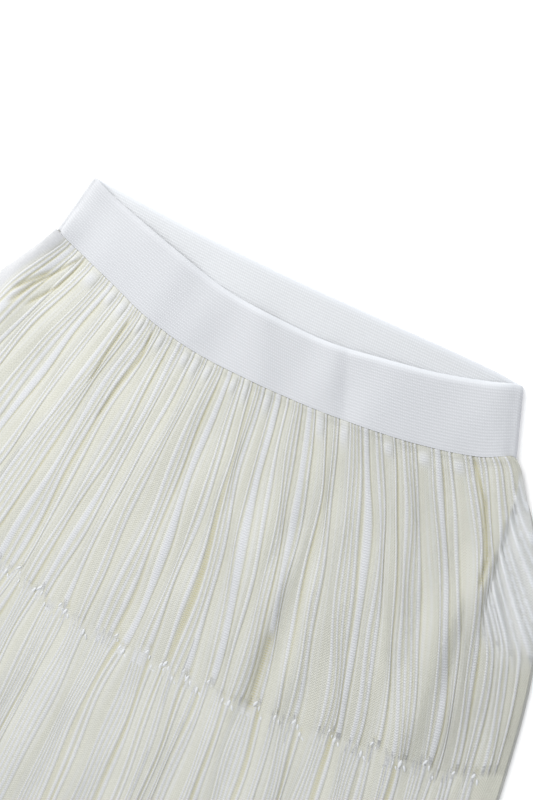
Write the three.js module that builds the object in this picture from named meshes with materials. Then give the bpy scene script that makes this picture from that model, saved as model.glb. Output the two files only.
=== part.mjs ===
// A pull-on knit skirt laid flat on its back, in millimetres.
// X runs along the waistband, Y towards the waist and Z up from the surface it lies on.
// The origin is on the surface, midway between the waistband's two lower corners.
import * as THREE from "three";

// Waistband: an elastic knit band, one loop folded flat at its two ends.
const BAND_WALL = 2.6;
const BAND_FRONT_REST = 5.2; // height of the front layer's middle surface
const BAND_EDGE_WALL = 1.3; // wall left at the rounded top and lower edges
const BAND_EDGE_ROUND = 0.05; // share of the band's height that rounds off at each edge
const BAND_COLUMNS = 34; // steps along one layer
const BAND_END_STEPS = 5; // steps round a folded end
const BAND_ROWS = [0, BAND_EDGE_ROUND, 0.3, 0.55, 0.8, 1 - BAND_EDGE_ROUND, 1];

// Both long edges of the band, front and back layer, along the band from end to end.
const BAND_TOP_HALF = 160.5;
const BAND_TOP_MIDDLE = -3.6;
const BAND_LOW_HALF = 172.5;
const BAND_END_RADIUS = BAND_FRONT_REST / 2 + BAND_WALL / 4;
const BAND_EDGES = [
  { along: -1, frontTop: 43.0, frontLow: 0.0, backTop: 43.0, backLow: 0.0 },
  { along: -0.9, frontTop: 37.4, frontLow: -5.9, backTop: 42.8, backLow: -0.8 },
  { along: -0.7, frontTop: 29.6, frontLow: -15.6, backTop: 41.4, backLow: -2.8 },
  { along: -0.5, frontTop: 22.2, frontLow: -25.3, backTop: 40.2, backLow: -4.2 },
  { along: -0.25, frontTop: 14.2, frontLow: -31.8, backTop: 39.5, backLow: -5.2 },
  { along: 0, frontTop: 12.2, frontLow: -31.8, backTop: 39.3, backLow: -5.4 },
  { along: 0.25, frontTop: 13.0, frontLow: -29.6, backTop: 40.0, backLow: -4.8 },
  { along: 0.5, frontTop: 19.4, frontLow: -24.7, backTop: 40.8, backLow: -3.6 },
  { along: 0.7, frontTop: 25.8, frontLow: -18.8, backTop: 41.6, backLow: -2.4 },
  { along: 0.9, frontTop: 35.0, frontLow: -9.4, backTop: 41.8, backLow: -0.8 },
  { along: 1, frontTop: 40.8, frontLow: 0.0, backTop: 40.8, backLow: 0.0 },
];

// Skirt panels.
const SEAM_GAP = 0.3;
const SKIRT_LENGTH = 655; // from the band's seam to the hem, along a pleat
const BACK_WALL = 1.8;
const BACK_PEEK = 1.5; // how far the back panel stands out past the front one at the sides
const FRONT_WALL = 1.5; // at the recesses between ribs
const FRONT_LIFT = 3.0; // height of the front panel's inner face
const SIDE_ROUND = 13; // width over which the front panel turns down to the back one
const RIB_RISE = 1.5; // how far a rib stands up from the recess beside it
const DEEP_DROP = 0.45; // how much a deep recess sinks into the wall
const RIB_GAP = 1.1; // between neighbouring ribs of one group
const WIDE_RIB = 3.4; // a rib at least this wide has a flat crest
const BACK_COLUMNS = 28;
const INNER_STEP = 4; // the front panel's plain inner face has every fourth of its columns

// Section rows down the skirt, measured from the seam along a pleat.
const SKIRT_ROWS = [
  { down: 0, ribs: 0.45 },
  { down: 8, ribs: 0.9 },
  { down: 20, ribs: 1 },
  { down: 34, ribs: 1 },
  { down: 48, ribs: 1 },
  { down: 62, ribs: 1 },
  { down: 78, ribs: 1 },
  { down: 96, ribs: 1 },
  { down: 116, ribs: 1 },
  { down: 138, ribs: 1 },
  { down: 162, ribs: 1 },
  { down: 184, ribs: 0.9 },
  { down: 196, ribs: 1.2 },
  { down: 235, ribs: 1.35 },
  { down: 300, ribs: 1.4 },
  { down: 380, ribs: 1.45 },
  { down: 470, ribs: 1.5 },
  { down: 560, ribs: 1.5 },
  { down: SKIRT_LENGTH, ribs: 1.4 },
];

// How the pleats fan out: each row follows one line of knit from the seam to the hem.
// chart is its place across the knit, and the rest is how far to the side it lies at each depth.
const PLEAT_LINES = [
  { chart: -222, seam: -171.5, at60: -203, at120: -228, at190: -246, at300: -262, hem: -299 },
  { chart: -186, seam: -152, at60: -178, at120: -196, at190: -216, at300: -233, hem: -268 },
  { chart: -140, seam: -118, at60: -135.5, at120: -150, at190: -164, at300: -180, hem: -211 },
  { chart: -84, seam: -75, at60: -83.7, at120: -90.3, at190: -98, at300: -108, hem: -128 },
  { chart: -21, seam: -23, at60: -20.8, at120: -18.7, at190: -16.6, at300: -14, hem: -9 },
  { chart: 15, seam: 6, at60: 15.4, at120: 29, at190: 39, at300: 48, hem: 56 },
  { chart: 85, seam: 60, at60: 82.5, at120: 99.5, at190: 119, at300: 135, hem: 155 },
  { chart: 148, seam: 110, at60: 139.5, at120: 165.5, at190: 190, at300: 207, hem: 231 },
  { chart: 196, seam: 150, at60: 182, at120: 208, at190: 228, at300: 243, hem: 273 },
  { chart: 227, seam: 171.5, at60: 209, at120: 234, at190: 250, at300: 266, hem: 300 },
];
const LINE_DEPTHS = { seam: 0, at60: 60, at120: 120, at190: 190, at300: 300, hem: SKIRT_LENGTH };
const MARCH_STEPS = 40; // steps that work out how far down a pleat reaches

// The knit across the front from left to right: a plain recess, then the ribs beside it.
const SIDE_STRIP = 6.9; // plain knit after the last rib
const RIB_GROUPS = [
  { recess: 21.5, deep: 0, ribs: [2.6, 2.8] },
  { recess: 1.6, deep: 1, ribs: [5.5, 2.6] },
  { recess: 7.2, deep: 1, ribs: [3.6] },
  { recess: 4.6, deep: 0, ribs: [2.2, 2.6] },
  { recess: 11.7, deep: 1, ribs: [1.6, 1.8, 2.6] },
  { recess: 1.6, deep: 0, ribs: [4.4] },
  { recess: 7.8, deep: 1, ribs: [2.0, 2.4] },
  { recess: 8.4, deep: 0, ribs: [3.4, 2.0, 1.6, 1.6, 2.2] },
  { recess: 5.6, deep: 1, ribs: [3.6, 1.6, 3.0] },
  { recess: 3.4, deep: 1, ribs: [2.0] },
  { recess: 6.5, deep: 0, ribs: [2.4, 2.4] },
  { recess: 4.9, deep: 1, ribs: [3.6, 2.4] },
  { recess: 7.1, deep: 0, ribs: [2.8] },
  { recess: 6.9, deep: 0, ribs: [1.6, 1.8] },
  { recess: 6.7, deep: 0, ribs: [2.6, 1.5, 2.2] },
  { recess: 4.3, deep: 1, ribs: [4.4] },
  { recess: 6.3, deep: 0, ribs: [1.5, 2.6] },
  { recess: 5.8, deep: 0, ribs: [2.2] },
  { recess: 3.1, deep: 1, ribs: [1.6, 1.6, 3.2] },
  { recess: 7.0, deep: 0, ribs: [1.5, 5.2] },
  { recess: 4.6, deep: 0, ribs: [2.6] },
  { recess: 5.0, deep: 0, ribs: [1.6, 1.8, 2.0] },
  { recess: 4.0, deep: 1, ribs: [5.0, 2.0] },
  { recess: 8.3, deep: 0, ribs: [2.2] },
  { recess: 5.4, deep: 1, ribs: [1.5, 2.2] },
  { recess: 8.9, deep: 0, ribs: [2.0, 1.6, 1.6, 2.2] },
  { recess: 1.4, deep: 1, ribs: [4.6] },
  { recess: 4.7, deep: 0, ribs: [2.8, 2.4] },
  { recess: 8.6, deep: 0, ribs: [1.8] },
  { recess: 4.6, deep: 1, ribs: [2.8, 1.8, 1.6, 2.2] },
  { recess: 10.1, deep: 0, ribs: [1.8, 4.6] },
  { recess: 4.9, deep: 1, ribs: [2.6] },
  { recess: 9.0, deep: 0, ribs: [2.2, 3.0] },
  { recess: 4.0, deep: 1, ribs: [2.0, 2.4] },
  { recess: 4.5, deep: 0, ribs: [2.4, 2.0] },
  { recess: 4.0, deep: 0, ribs: [2.4] },
];

// Large soft folds of the front layers: a ridge from (fromX, fromY) to (toX, toY).
// left and right are its widths to either side when seen from above with the waist up.
const FOLDS = [
  { fromX: 172, fromY: -6, toX: 182, toY: -25, left: 15, right: 8, rise: 4.6 },
  { fromX: 182, fromY: -25, toX: 190, toY: -65, left: 17, right: 10, rise: 7.0 },
  { fromX: 190, fromY: -65, toX: 196, toY: -100, left: 13, right: 11, rise: 6.4 },
  { fromX: 196, fromY: -100, toX: 200, toY: -150, left: 9, right: 12, rise: 3.4 },
  { fromX: 172, fromY: -104, toX: 177, toY: -175, left: 13, right: 7, rise: 3.2 },
  { fromX: -171, fromY: -4, toX: -180, toY: -34, left: 9, right: 14, rise: 4.4 },
  { fromX: -180, fromY: -34, toX: -185, toY: -78, left: 13, right: 16, rise: 5.0 },
  { fromX: -185, fromY: -78, toX: -200, toY: -190, left: 15, right: 18, rise: 3.6 },
  { fromX: 78, fromY: -140, toX: 84, toY: -222, left: 14, right: 5, rise: 2.8 },
  { fromX: 100, fromY: -140, toX: 112, toY: -222, left: 6, right: 14, rise: 3.0 },
  { fromX: -98, fromY: -46, toX: -124, toY: -200, left: 14, right: 12, rise: 1.4 },
  { fromX: -38, fromY: -60, toX: -36, toY: -205, left: 16, right: 14, rise: 1.3 },
  { fromX: 44, fromY: -70, toX: 62, toY: -180, left: 12, right: 16, rise: 1.5 },
  { fromX: 120, fromY: -42, toX: 158, toY: -130, left: 14, right: 12, rise: 1.6 },
  { fromX: -104, fromY: 24, toX: -98, toY: -10, left: 26, right: 26, rise: 2.2 },
  { fromX: -14, fromY: 8, toX: -8, toY: -26, left: 18, right: 17, rise: 2.4 },
  { fromX: 43, fromY: 10, toX: 54, toY: -24, left: 13, right: 8, rise: 2.6 },
  { fromX: 86, fromY: 12, toX: 92, toY: -18, left: 14, right: 36, rise: 1.7 },
];
const FOLD_FADE = 26; // length over which a fold dies away past its ends

// Folds of the lower skirt, one row each: side place at the transition and at the hem, and size.
const LOWER_FOLDS = [
  { high: -226, hem: -272, width: 20, rise: 3.0 },
  { high: -186, hem: -222, width: 16, rise: 3.6 },
  { high: -146, hem: -182, width: 15, rise: 3.0 },
  { high: -104, hem: -134, width: 17, rise: 3.8 },
  { high: -66, hem: -86, width: 13, rise: 3.0 },
  { high: -30, hem: -36, width: 15, rise: 3.4 },
  { high: 6, hem: 12, width: 14, rise: 3.0 },
  { high: 44, hem: 62, width: 15, rise: 3.8 },
  { high: 82, hem: 108, width: 14, rise: 3.0 },
  { high: 122, hem: 156, width: 16, rise: 3.6 },
  { high: 166, hem: 208, width: 17, rise: 3.0 },
  { high: 214, hem: 262, width: 20, rise: 3.2 },
];
const LOWER_START = 190; // depth where the lower folds begin to grow
const LOWER_FULL = 330; // depth where they reach full size

// Smoothly joins the values of one column of a table over another column.
function between(rows, keyName, valueName, at) {
  const last = rows.length - 1;
  let i = 0;
  while (i < last - 1 && at > rows[i + 1][keyName]) i++;
  const key = (k) => rows[k][keyName];
  const value = (k) => rows[k][valueName];
  const slope = (k) => {
    const lower = Math.max(k - 1, 0);
    const upper = Math.min(k + 1, last);
    return (value(upper) - value(lower)) / (key(upper) - key(lower));
  };
  const span = key(i + 1) - key(i);
  const t = Math.min(Math.max((at - key(i)) / span, 0), 1);
  const startShare = 1 - t * t * (3 - 2 * t);
  const startTangent = t * (1 - t) * (1 - t) * span * slope(i);
  const endTangent = t * t * (t - 1) * span * slope(i + 1);
  return value(i) * startShare + value(i + 1) * (1 - startShare) + startTangent + endTangent;
}

function smooth(from, to, at) {
  const t = Math.min(Math.max((at - from) / (to - from), 0), 1);
  return t * t * (3 - 2 * t);
}

// Height that the large folds add to the front layers at a place.
function foldHeight(x, y) {
  let height = 0;
  for (const fold of FOLDS) {
    const runX = fold.toX - fold.fromX;
    const runY = fold.toY - fold.fromY;
    const length = Math.hypot(runX, runY);
    const along = ((x - fold.fromX) * runX + (y - fold.fromY) * runY) / length;
    const aside = ((x - fold.fromX) * runY - (y - fold.fromY) * runX) / -length;
    const past = Math.max(-along, along - length, 0);
    const width = aside < 0 ? fold.left : fold.right;
    const fade = Math.exp(-((past / FOLD_FADE) ** 2));
    height = Math.max(height, fold.rise * Math.exp(-((aside / width) ** 2)) * fade);
  }
  return height;
}

// Height that the pleats of the lower skirt add.
function lowerFoldHeight(x, down) {
  const size = smooth(LOWER_START, LOWER_FULL, down);
  const share = (down - LOWER_START) / (SKIRT_LENGTH - LOWER_START);
  let height = 0;
  for (const fold of LOWER_FOLDS) {
    const middle = fold.high + (fold.hem - fold.high) * share;
    height += fold.rise * Math.exp(-(((x - middle) / fold.width) ** 2));
  }
  return size * height;
}

// One closed wall between an outer and an inner sheet of points, which may differ in columns.
function closedWall(outer, inner, isLoop) {
  const positions = [];
  const index = [];
  const place = (rows) => rows.map((row) => row.map((point) => positions.push(...point) / 3 - 1));
  const outerIds = place(outer);
  const innerIds = place(inner);
  const triangle = (a, b, c, turned) => index.push(...(turned ? [a, c, b] : [a, b, c]));
  const sheet = (ids, turned) => {
    for (let i = 0; i + 1 < ids.length; i++) {
      const count = ids[i].length;
      for (let j = 0; j < (isLoop ? count : count - 1); j++) {
        const next = (j + 1) % count;
        triangle(ids[i][j], ids[i + 1][j], ids[i + 1][next], turned);
        triangle(ids[i][j], ids[i + 1][next], ids[i][next], turned);
      }
    }
  };
  // A strip between two lines that run the same way, each with its own number of points.
  const strip = (a, b, turned) => {
    let i = 0;
    let j = 0;
    while (i + 1 < a.length || j + 1 < b.length) {
      const stepA = i + 1 < a.length ? (i + 1) / (a.length - 1) : Infinity;
      const stepB = j + 1 < b.length ? (j + 1) / (b.length - 1) : Infinity;
      if (stepA <= stepB) triangle(a[i], a[++i], b[j], turned);
      else triangle(a[i], b[j + 1], b[j++], turned);
    }
  };
  const closed = (row) => (isLoop ? [...row, row[0]] : row);
  sheet(outerIds, false);
  sheet(innerIds, true);
  strip(closed(outerIds[0]), closed(innerIds[0]), false);
  strip(closed(outerIds.at(-1)), closed(innerIds.at(-1)), true);
  if (!isLoop) {
    strip(outerIds.map((row) => row[0]), innerIds.map((row) => row[0]), true);
    strip(outerIds.map((row) => row.at(-1)), innerIds.map((row) => row.at(-1)), false);
  }
  const geometry = new THREE.BufferGeometry();
  geometry.setAttribute("position", new THREE.Float32BufferAttribute(positions, 3));
  geometry.setIndex(index);
  geometry.computeVertexNormals();
  return geometry;
}

// Seam line of the band's lower edge at a side place x, on the front or back layer.
function seamAt(x, layer) {
  return between(BAND_EDGES, "along", layer + "Low", x / (BAND_LOW_HALF - BAND_END_RADIUS));
}

// A place on a panel: how far to the side and down a point of the knit lies.
function panelPlace(chart, down, layer) {
  const line = Object.entries(LINE_DEPTHS).map(([name, depth]) => ({
    depth,
    aside: between(PLEAT_LINES, "chart", name, chart),
  }));
  const seamX = line[0].aside;
  let y = seamAt(seamX, layer) - SEAM_GAP;
  let x = seamX;
  for (let i = 1; i <= MARCH_STEPS; i++) {
    const nextX = between(line, "depth", "aside", (down * i) / MARCH_STEPS);
    const step = down / MARCH_STEPS;
    y -= Math.sqrt(Math.max(step * step - (nextX - x) ** 2, 0));
    x = nextX;
  }
  // The front layer has slid down at the waist, and evens out with the back one at the hem.
  const slide = seamAt(seamX, "back") - seamAt(seamX, layer);
  y += slide * smooth(LINE_DEPTHS.at190, SKIRT_LENGTH, down);
  return { x, y };
}

// Points across the front panel, with the share of the rib's rise at each.
function pleatProfile() {
  let at = PLEAT_LINES[0].chart;
  const profile = [{ chart: at, rise: 0 }, { chart: at + SIDE_ROUND / 3, rise: 0 }];
  const dip = -DEEP_DROP / RIB_RISE;
  for (const group of RIB_GROUPS) {
    if (group.deep) profile.push({ chart: at + group.recess / 2, rise: dip });
    at += group.recess;
    group.ribs.forEach((width, n) => {
      profile.push({ chart: n ? at + RIB_GAP / 2 : at, rise: 0 });
      at += n ? RIB_GAP : 0;
      const crests = width >= WIDE_RIB ? [0.25, 0.75] : [0.5];
      for (const share of crests) profile.push({ chart: at + share * width, rise: 1 });
      at += width;
    });
    profile.push({ chart: at, rise: 0 });
  }
  profile.push({ chart: at + SIDE_STRIP / 2, rise: 0 }, { chart: at + SIDE_STRIP, rise: 0 });
  return profile;
}

// Height of the front panel's inner face, which turns down to the back panel at its sides.
function frontInnerHeight(chart, down, x, y) {
  const edge = Math.min(chart - PLEAT_LINES[0].chart, PLEAT_LINES.at(-1).chart - chart);
  const turn = Math.min(edge / SIDE_ROUND, 1);
  const full = FRONT_LIFT + foldHeight(x, y) + lowerFoldHeight(x, down);
  const low = BACK_WALL + SEAM_GAP;
  return low + (full - low) * Math.sqrt(1 - (1 - turn) ** 2);
}

function skirtFront() {
  const profile = pleatProfile();
  const last = profile.length - 1;
  const innerColumns = profile.filter((_, j) => j === last || (j % INNER_STEP === 0 && j <= last - 2));
  const sheet = (columns, wall) =>
    SKIRT_ROWS.map(({ down, ribs }) =>
      columns.map(({ chart, rise }) => {
        const { x, y } = panelPlace(chart, down, "front");
        const lift = frontInnerHeight(chart, down, x, y);
        return [x, y, lift + (wall ? wall + rise * ribs * RIB_RISE : 0)];
      }),
    );
  return closedWall(sheet(profile, FRONT_WALL), sheet(innerColumns, 0), false);
}

function skirtBack() {
  const first = PLEAT_LINES[0].chart;
  const width = PLEAT_LINES.at(-1).chart - first;
  const sheet = (height) =>
    SKIRT_ROWS.map(({ down }) =>
      Array.from({ length: BACK_COLUMNS }, (_, j) => {
        const share = j / (BACK_COLUMNS - 1);
        const { x, y } = panelPlace(first + width * share, down, "back");
        const peek = BACK_PEEK * (2 * share - 1) * smooth(0, LINE_DEPTHS.at60, down);
        return [x + peek, y, height];
      }),
    );
  return closedWall(sheet(BACK_WALL), sheet(0), false);
}

// One ring of the band at a share of its height below the top edge.
function bandRing(drop, wall) {
  const halfWidth = BAND_TOP_HALF + (BAND_LOW_HALF - BAND_TOP_HALF) * drop;
  const middle = BAND_TOP_MIDDLE * (1 - drop);
  const straight = halfWidth - BAND_END_RADIUS;
  const level = (along, layer) => {
    const top = between(BAND_EDGES, "along", layer + "Top", along);
    return top + (between(BAND_EDGES, "along", layer + "Low", along) - top) * drop;
  };
  const ring = [];
  const layerPoint = (along, layer) => {
    const x = middle + along * straight;
    const y = level(along, layer);
    const isFront = layer === "front";
    const rest = isFront ? BAND_FRONT_REST : BAND_WALL / 2;
    const folds = isFront ? foldHeight(x, y) * (1 - smooth(0.8, 1, Math.abs(along))) : 0;
    ring.push([x, y, rest + folds + (isFront ? wall : -wall)]);
  };
  const endPoints = (side) => {
    const centreZ = (BAND_FRONT_REST + BAND_WALL / 2) / 2;
    const radius = (BAND_FRONT_REST - BAND_WALL / 2) / 2 + wall;
    for (let i = 1; i < BAND_END_STEPS; i++) {
      const turn = (Math.PI * i) / BAND_END_STEPS;
      const x = middle + side * (straight + radius * Math.sin(turn));
      ring.push([x, level(side, "front"), centreZ + side * radius * Math.cos(turn)]);
    }
  };
  for (let j = 0; j <= BAND_COLUMNS; j++) layerPoint((2 * j) / BAND_COLUMNS - 1, "front");
  endPoints(1);
  for (let j = BAND_COLUMNS; j >= 0; j--) layerPoint((2 * j) / BAND_COLUMNS - 1, "back");
  endPoints(-1);
  return ring;
}

function waistband() {
  const halfWall = (drop) => (drop > 0 && drop < 1 ? BAND_WALL : BAND_EDGE_WALL) / 2;
  const outer = BAND_ROWS.map((drop) => bandRing(drop, halfWall(drop)));
  const inner = BAND_ROWS.map((drop) => bandRing(drop, -halfWall(drop)));
  return closedWall(outer, inner, true);
}

function knit(colour, roughness) {
  return new THREE.MeshStandardMaterial({ color: colour, roughness, metalness: 0 });
}

const skirt = new THREE.Group();
const PIECES = [
  { name: "waistband", make: waistband, material: knit(0xe6e8ec, 0.9) },
  { name: "skirt_front", make: skirtFront, material: knit(0xe2e2d8, 0.92) },
  { name: "skirt_back", make: skirtBack, material: knit(0xdcdcd2, 0.92) },
];
for (const piece of PIECES) {
  const mesh = new THREE.Mesh(piece.make(), piece.material);
  mesh.name = piece.name;
  skirt.add(mesh);
}

export default skirt;
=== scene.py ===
import bpy
import numpy as np
from mathutils import Matrix, Vector


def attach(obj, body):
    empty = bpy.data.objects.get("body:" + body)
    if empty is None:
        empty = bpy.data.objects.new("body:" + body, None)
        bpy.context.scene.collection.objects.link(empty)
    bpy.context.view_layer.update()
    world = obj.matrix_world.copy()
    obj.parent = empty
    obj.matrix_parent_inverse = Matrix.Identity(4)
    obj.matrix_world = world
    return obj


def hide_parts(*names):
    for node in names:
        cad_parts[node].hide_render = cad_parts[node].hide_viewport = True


MM = 0.001
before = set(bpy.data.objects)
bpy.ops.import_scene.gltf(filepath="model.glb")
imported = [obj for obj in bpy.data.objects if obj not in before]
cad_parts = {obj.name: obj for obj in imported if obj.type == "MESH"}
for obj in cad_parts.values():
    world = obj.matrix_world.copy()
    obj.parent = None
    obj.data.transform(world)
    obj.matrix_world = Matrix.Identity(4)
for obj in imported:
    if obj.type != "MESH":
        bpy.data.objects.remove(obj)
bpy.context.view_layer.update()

# Camera
CAMERA_PLACE = (204.8, 18.5, 694.2)
CAMERA_FORWARD = (-0.26398, -0.0793, -0.96126)
CAMERA_UP = (-0.44319, 0.89515, 0.04786)
LENS = 50
SENSOR = 36
CLIP_START = 0.01

# Waistband
BAND_WALL = 2.6
BAND_FRONT_REST = 5.2  # height of the middle of the front layer where no fold lifts it
BAND_TOP_HALF = 160.5
BAND_TOP_MIDDLE = -3.6
BAND_LOW_HALF = 172.5
BAND_HEIGHT = 45
BAND_EDGES = [  # along, front top, front low, back top, back low
    (-1, 43.0, 0.0, 43.0, 0.0),
    (-0.9, 37.4, -5.9, 42.8, -0.8),
    (-0.7, 29.6, -15.6, 41.4, -2.8),
    (-0.5, 22.2, -25.3, 40.2, -4.2),
    (-0.25, 14.2, -31.8, 39.5, -5.2),
    (0, 12.2, -31.8, 39.3, -5.4),
    (0.25, 13.0, -29.6, 40.0, -4.8),
    (0.5, 19.4, -24.7, 40.8, -3.6),
    (0.7, 25.8, -18.8, 41.6, -2.4),
    (0.9, 35.0, -9.4, 41.8, -0.8),
    (1, 40.8, 0.0, 40.8, 0.0),
]
EDGE_COLUMN = {"front": (1, 2), "back": (3, 4)}
BAND_COLUMNS = 170
BAND_END_STEPS = 12
BAND_ROWS = 36
BAND_ROUND = 0.035  # share of the height over which the two edges round off
BAND_ROUND_ROWS = 5
BAND_EDGE_SHOWN = 0.3  # wall left at the very top edge
BAND_SEAM_EDGE = 2.4  # and at the seam
BAND_CROWN = 0.5
BAND_CROWN_FROM = 0.9  # crown and rolled edge fade towards the ends from these shares
BAND_ROLL_FROM = 0.85
BAND_RIM = 0.5
BAND_RIM_SHARE = 0.07
BAND_RIM_HIGHLIGHT_SPAN = (-150, 60)  # the painted highlight on the rim grows between these places along the band
BAND_END_DROP = 1.0  # the front layer falls this much towards each end
BAND_END_FROM = 0.93
BAND_ROLL = 2.2  # how far the top edge rolls down onto the back layer
BAND_ROLL_SHARE = 0.045
BAND_CLEAR = 0.15  # between the rolled edge and the back layer
BAND_END_RADIUS = BAND_FRONT_REST / 2 + BAND_WALL / 4
BAND_END_FADE = 0.975
BAND_TURNED = (0.955, 1)  # the stitches fade between these shares of the half width

# Skirt panels
SKIRT_LENGTH = 655
BACK_WALL = 1.8
BACK_PEEK = 1.5  # how far the back panel shows at each side, from this depth on
BACK_PEEK_DEPTH = 60
FRONT_WALL = 1.5
FRONT_LIFT = 3.0
SIDE_ROUND = 13  # the front panel rounds down to the back one over this much chart
SIDE_ROUND_SEAM = 0.4  # share of it at the seam
SIDE_ROUND_DEPTH = 40
EDGE_FADE = 3
RIB_RISE = 0.8
RIB_GAP = 1.1
WIDE_RIB = 3.4
PLEAT_LINES = [  # chart, then how far aside at the seam, 60, 120, 190 and 300 below it, and the hem
    (-222, -171.5, -203, -228, -246, -262, -299),
    (-186, -152, -178, -196, -216, -233, -268),
    (-140, -118, -135.5, -150, -164, -180, -211),
    (-84, -75, -83.7, -90.3, -98, -108, -128),
    (-21, -23, -20.8, -18.7, -16.6, -14, -9),
    (15, 6, 15.4, 29, 39, 48, 56),
    (85, 60, 82.5, 99.5, 119, 135, 155),
    (148, 110, 139.5, 165.5, 190, 207, 231),
    (196, 150, 182, 208, 228, 243, 273),
    (227, 171.5, 209, 234, 250, 266, 300),
]
LINE_DEPTHS = (0, 60, 120, 190, 300, SKIRT_LENGTH)
SLIDE_START = 190  # from this depth on, the front's lines move to end level with the back's
CHART_LEFT = PLEAT_LINES[0][0]
CHART_RIGHT = PLEAT_LINES[-1][0]
# Chart place or depth below the seam, and the share of a rib's full rise there
RIB_RISE_ACROSS = [(-222, 0.48), (-60, 0.6), (60, 0.8), (227, 1.12)]
RIB_RISE_ROWS = [
    (0, 0.6), (3, 1), (8, 1.1), (20, 1), (162, 1), (184, 0.9), (196, 1.2), (300, 1.4), (560, 1.5),
    (SKIRT_LENGTH, 1.4),
]
RIB_GROUPS = [  # plain recess, 1 where a deep groove runs beside it, the widths of the ribs
    (21.5, 0, 2.6, 2.8), (1.6, 1, 5.5, 2.6), (7.2, 1, 3.6), (4.6, 0, 2.2, 2.6),
    (11.7, 1, 1.6, 1.8, 2.6), (1.6, 0, 4.4), (7.8, 1, 2.0, 2.4), (8.4, 0, 3.4, 2.0, 1.6, 1.6, 2.2),
    (5.6, 1, 3.6, 1.6, 3.0), (3.4, 1, 2.0), (6.5, 0, 2.4, 2.4), (4.9, 1, 3.6, 2.4), (7.1, 0, 2.8),
    (6.9, 0, 1.6, 1.8), (6.7, 0, 2.6, 1.5, 2.2), (4.3, 1, 4.4), (6.3, 0, 1.5, 2.6), (5.8, 0, 2.2),
    (3.1, 1, 1.6, 1.6, 3.2), (7.0, 0, 1.5, 5.2), (4.6, 0, 2.6), (5.0, 0, 1.6, 1.8, 2.0),
    (4.0, 1, 5.0, 2.0), (8.3, 0, 2.2), (5.4, 1, 1.5, 2.2), (8.9, 0, 2.0, 1.6, 1.6, 2.2),
    (1.4, 1, 4.6), (4.7, 0, 2.8, 2.4), (8.6, 0, 1.8), (4.6, 1, 2.8, 1.8, 1.6, 2.2),
    (10.1, 0, 1.8, 4.6), (4.9, 1, 2.6), (9.0, 0, 2.2, 3.0), (4.0, 1, 2.0, 2.4), (4.5, 0, 2.4, 2.0),
    (4.0, 0, 2.4),
]
LOWER_DEPTH = 205  # where the widths of the lower groups are measured
LOWER_LEFT = -248  # side place where the lower groups start, at that depth
LOWER_GAP = 0.45
LOWER_RISE = 0.85
LOWER_GAP_SHARE = 0.5
LOWER_GROUPS = [  # as RIB_GROUPS, for the finer ribs of the lower skirt, in real millimetres
    (24, 0, 2.2, 2.4), (2.4, 1, 1.8, 1.6, 2.0), (6.4, 0, 2.2), (2.6, 1, 1.6, 1.6, 1.8, 2.2),
    (7.2, 0, 1.8, 2.2), (2.2, 1, 2.4), (5.6, 0, 1.6, 1.6, 1.8, 1.6, 2.4), (2.8, 1, 2.0),
    (7.8, 0, 1.6, 1.8, 2.2), (2.0, 1, 1.8, 1.8), (6.2, 0, 1.6, 1.6, 2.0, 2.4), (2.4, 1, 2.2),
    (6.8, 0, 1.6, 1.6, 1.8, 2.2), (2.6, 1, 2.0, 1.6), (2.6, 0, 2.4), (4.4, 1, 1.8, 1.6, 1.8, 2.2),
    (1.0, 1, 2.4), (6.4, 0, 1.8), (1.0, 1, 1.5, 1.5, 1.5, 2.0, 2.4), (1.8, 1, 1.8, 1.8),
    (5.2, 0, 1.6, 1.6, 1.8, 2.0, 2.6), (8.6, 0, 1.6, 1.6, 1.8, 1.6, 1.6, 2.4), (3.2, 1, 2.2),
    (1.3, 1, 2.4), (7.0, 0, 1.6, 2.0, 1.8, 1.6, 2.0), (2.4, 1, 2.4), (4.4, 0, 1.8), (1.4, 1, 1.8),
    (2.6, 0, 1.6, 2.2), (3.8, 0, 2.4), (1.8, 1, 2.2), (3.8, 0, 2.0, 1.6), (2.2, 1, 2.0, 1.8),
    (6.2, 0, 1.6, 1.8, 2.2), (2.0, 1, 2.4), (7.0, 0, 1.6, 1.6, 1.8, 2.0, 2.2), (2.6, 1, 2.2),
    (5.4, 0, 1.8, 1.8), (3.2, 0, 1.6, 1.6, 2.0, 2.4), (2.4, 1, 2.0), (8.2, 0, 1.8, 1.6, 1.6, 2.2),
    (3.0, 1, 2.4), (6.0, 0, 1.6, 1.6, 1.8, 1.6, 2.4), (2.0, 1, 2.2, 1.8), (7.4, 0, 1.6, 1.8, 2.0),
    (2.6, 1, 2.2), (5.6, 0, 1.6, 1.6, 1.6, 2.2), (3.0, 0, 2.0), (5.0, 1, 1.8, 1.8, 2.2),
    (6.4, 0, 2.0, 2.4),
]
CHANGE_DEPTH = 195  # about where the upper ribs end and the lower ones begin
CHANGE_HALF = 3.5
FOLDS = [  # from x, y, to x, y, width to the left, to the right, rise
    (-171, -4, -180, -34, 9, 14, 5.0),
    (-180, -34, -185, -78, 13, 16, 5.4),
    (-185, -78, -200, -190, 15, 18, 4.0),
    (78, -140, 84, -222, 14, 5, 2.8),
    (100, -140, 112, -222, 6, 14, 3.0),
    (-98, -46, -124, -200, 14, 12, 1.4),
    (-38, -60, -36, -205, 16, 14, 1.3),
    (44, -70, 62, -180, 12, 16, 1.5),
    (120, -42, 158, -130, 14, 12, 1.6),
    (182, -106, 189, -172, 14, 8, 5.0),
    (-161, 40, -162.5, 6, 7, 12, 1.2),
    (160, 38, 162, 6, 14, 9, 1.2),
    (-97, 26, -76, -18, 22, 22, 3.0),
    (-12, 10, 3, -26, 18, 12, 3.0),
    (39, 14, 55, -24, 13, 9, 2.5),
    (66, 12, 82, -22, 14, 34, 2.2),
]
FOLD_FADE = 26
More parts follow.
